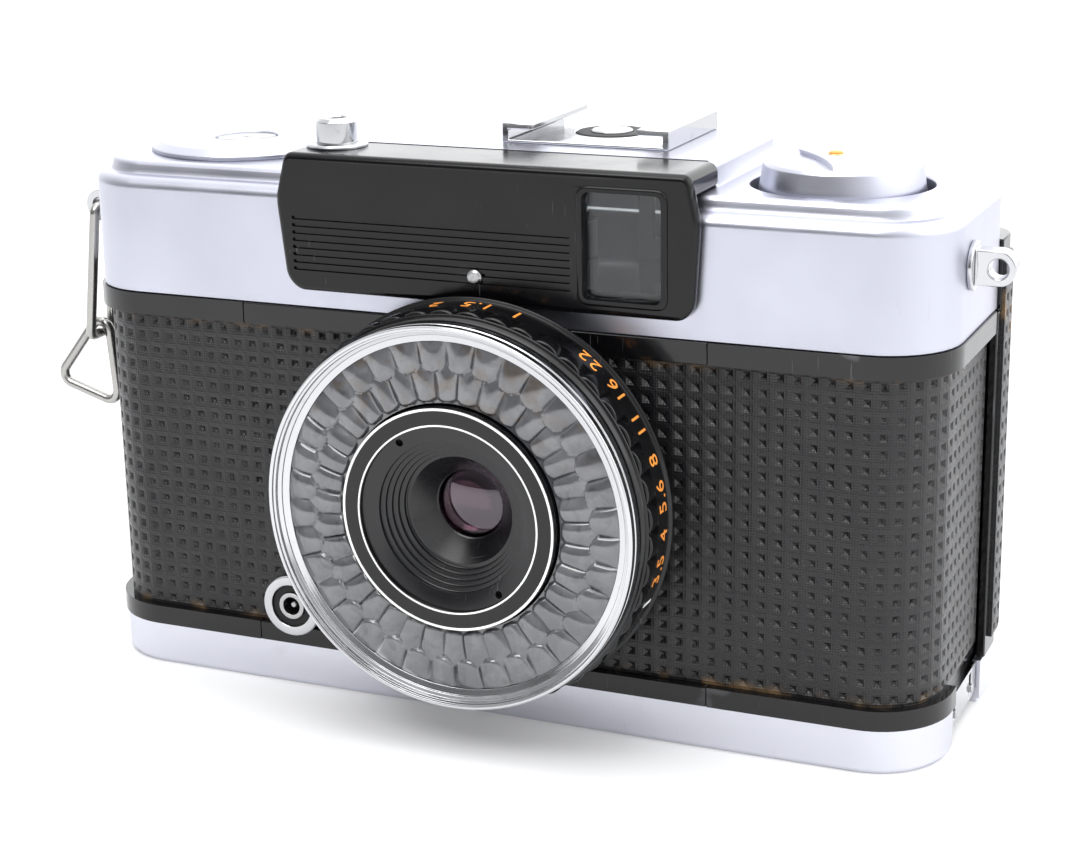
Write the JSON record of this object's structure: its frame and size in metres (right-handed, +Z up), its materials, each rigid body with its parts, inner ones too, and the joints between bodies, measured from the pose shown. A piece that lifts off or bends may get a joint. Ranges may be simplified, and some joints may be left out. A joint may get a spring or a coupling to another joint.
{
  "type": "half frame viewfinder camera",
  "caption": "Compact half frame film camera: fixed lens in a selenium meter ring, finder window, hot shoe, hinged back, thumbwheel advance and lift-up rewind knob.",
  "frame": {"origin": "mouth of the tripod socket, in the flat base straight below the lens axis", "axes": "+Z up, +X to the right of a viewer in front of the camera, -Y out of the lens"},
  "size_m": [0.1259, 0.0481, 0.0708],
  "materials": {
    "black_enamel": "semi-gloss black enamel",
    "leatherette": "embossed grid, satin",
    "satin_silver": "bead-blasted satin chrome",
    "black_gloss": "polished",
    "finder_glass": "polished",
    "lens_glass": "coated, polished",
    "cell_window": "moulded domes over the cell",
    "chrome_trim": "polished",
    "steel": "brushed",
    "wire_steel": "drawn wire",
    "blade_steel": "dull",
    "black_matt": "matt black",
    "brass": "machined",
    "orange_paint": "painted"
  },
  "bodies": {
    "camera_body": {"body_casting": "black_enamel", "front_plate": "black_enamel", "front_leatherette": "leatherette", "top_cover": "satin_silver", "finder_panel": "black_gloss", "finder_window": "finder_glass", "finder_frame_mask": "black_matt", "finder_eyepiece": "finder_glass", "panel_rivet": "chrome_trim", "hot_shoe_rails": "steel", "hot_shoe_insulator": "black_gloss", "hot_shoe_contact": "steel", "base_plate": "satin_silver", "base_screws": "steel", "tripod_bush": "steel", "lens_barrel": "black_enamel", "shutter_housing": "black_matt", "lens_bezel": "chrome_trim", "selenium_cell": "cell_window", "name_ring": "black_matt", "lens_cell": "black_matt", "front_lens": "lens_glass", "rear_lens": "lens_glass", "sync_socket_shell": "chrome_trim", "sync_socket_insulator": "black_gloss", "sync_socket_contact": "brass", "left_strap_lug": "chrome_trim", "right_strap_lug": "chrome_trim", "shutter_collar": "chrome_trim", "button_spring": "wire_steel", "counter_bezel": "satin_silver", "counter_window": "finder_glass", "hinge_pin": "steel", "latch_pins": "steel", "meter_movement": "black_matt"},
    "button": {"shutter_button": "chrome_trim"},
    "blade_a": {"shutter_blade_a": "blade_steel"},
    "blade_b": {"shutter_blade_b": "blade_steel"},
    "number_ring": {"aperture_ring": "black_enamel"},
    "speed_ring": {"film_speed_ring": "black_enamel"},
    "wire_loop": {"strap_loop": "wire_steel"},
    "wire_triangle": {"strap_triangle": "wire_steel"},
    "dial": {"counter_dial": "black_matt"},
    "thumbwheel": {"advance_wheel": "black_gloss", "advance_gear": "brass"},
    "spool": {"take_up_spool": "black_gloss"},
    "sprocket": {"sprocket_shaft": "steel", "sprocket_gear": "brass"},
    "rewind_sleeve": {"rewind_collar": "steel"},
    "rewind": {"rewind_knob": "satin_silver", "rewind_dot": "orange_paint", "rewind_fork": "steel"},
    "release_button": {"rewind_release": "steel"},
    "door": {"back_door": "black_enamel", "door_leatherette": "leatherette", "plate_spring": "blade_steel"},
    "film_plate": {"pressure_plate": "black_enamel"},
    "latch": {"latch_slide": "chrome_trim"},
    "needle": {"meter_needle": "orange_paint"}
  },
  "joints": [
    {"name": "shutter_press", "type": "slide", "parent": "camera_body", "child": "button", "axis": [0, 0, -1], "range_m": [0, 0.002], "stiffness_N_per_m": 200, "springref_m": -0.001, "deforming": ["button_spring"]},
    {"name": "blade_a_swing", "type": "hinge", "parent": "camera_body", "child": "blade_a", "pos_m": [0.00905, -0.0134, 0.03795], "axis": [0, -1, 0], "range_deg": [0, 40]},
    {"name": "blade_b_swing", "type": "hinge", "parent": "camera_body", "child": "blade_b", "pos_m": [-0.00905, -0.0129, 0.03795], "axis": [0, 1, 0], "range_deg": [0, 40]},
    {"name": "aperture_turn", "type": "hinge", "parent": "camera_body", "child": "number_ring", "pos_m": [0, -0.021, 0.0289], "axis": [0, -1, 0], "range_deg": [0, 104]},
    {"name": "film_speed_turn", "type": "hinge", "parent": "camera_body", "child": "speed_ring", "pos_m": [0, -0.0248, 0.0289], "axis": [0, -1, 0], "range_deg": [-45, 45]},
    {"name": "rewind_lift", "type": "slide", "parent": "camera_body", "child": "rewind_sleeve", "axis": [0, 0, 1], "range_m": [0, 0.008]},
    {"name": "rewind_turn", "type": "hinge", "parent": "rewind_sleeve", "child": "rewind", "pos_m": [0.0372, -0.0002, 0.06], "axis": [0, 0, 1], "continuous": true},
    {"name": "advance_turn", "type": "hinge", "parent": "camera_body", "child": "thumbwheel", "pos_m": [-0.0395, 0.0026, 0.058], "axis": [0, 0, 1], "continuous": true},
    {"name": "spool_turn", "type": "hinge", "parent": "camera_body", "child": "spool", "pos_m": [-0.0395, 0.0026, 0.03], "axis": [0, 0, 1], "continuous": true},
    {"name": "sprocket_turn", "type": "hinge", "parent": "camera_body", "child": "sprocket", "pos_m": [-0.0192, 0.0063, 0.03], "axis": [0, 0, 1], "continuous": true},
    {"name": "counter_turn", "type": "hinge", "parent": "camera_body", "child": "dial", "pos_m": [-0.0335, 0.0013, 0.0625], "axis": [0, 0, 1], "continuous": true},
    {"name": "door_swing", "type": "hinge", "parent": "camera_body", "child": "door", "pos_m": [-0.0547, 0.017, 0.031], "axis": [0, 0, 1], "range_deg": [0, 110]},
    {"name": "plate_float", "type": "slide", "parent": "door", "child": "film_plate", "axis": [0, 1, 0], "range_m": [0, 0.0005], "stiffness_N_per_m": 300, "springref_m": -0.0005, "deforming": ["plate_spring"]},
    {"name": "latch_slide_down", "type": "slide", "parent": "camera_body", "child": "latch", "axis": [0, 0, -1], "range_m": [0, 0.0011], "stiffness_N_per_m": 60, "springref_m": -0.001},
    {"name": "rewind_release_press", "type": "slide", "parent": "camera_body", "child": "release_button", "axis": [0, 0, 1], "range_m": [0, 0.0009], "stiffness_N_per_m": 60, "springref_m": -0.001},
    {"name": "loop_swing", "type": "hinge", "parent": "camera_body", "child": "wire_loop", "pos_m": [-0.0592, -0.003, 0.0568], "axis": [0, 1, 0], "range_deg": [-2, 95]},
    {"name": "triangle_swing", "type": "hinge", "parent": "wire_loop", "child": "wire_triangle", "pos_m": [-0.06131, -0.003, 0.03963], "axis": [0, 1, 0], "range_deg": [-12, 75]},
    {"name": "needle_swing", "type": "hinge", "parent": "camera_body", "child": "needle", "pos_m": [-0.0015, 0, 0.0606], "axis": [0, 0, 1], "range_deg": [0, 50]}
  ],
  "couplings": [
    {"joint": "blade_b_swing", "follows": "blade_a_swing", "ratio": 1},
    {"joint": "spool_turn", "follows": "advance_turn", "ratio": 1},
    {"joint": "sprocket_turn", "follows": "advance_turn", "ratio": -1.6},
    {"joint": "counter_turn", "follows": "advance_turn", "ratio": 0.04}
  ]
}
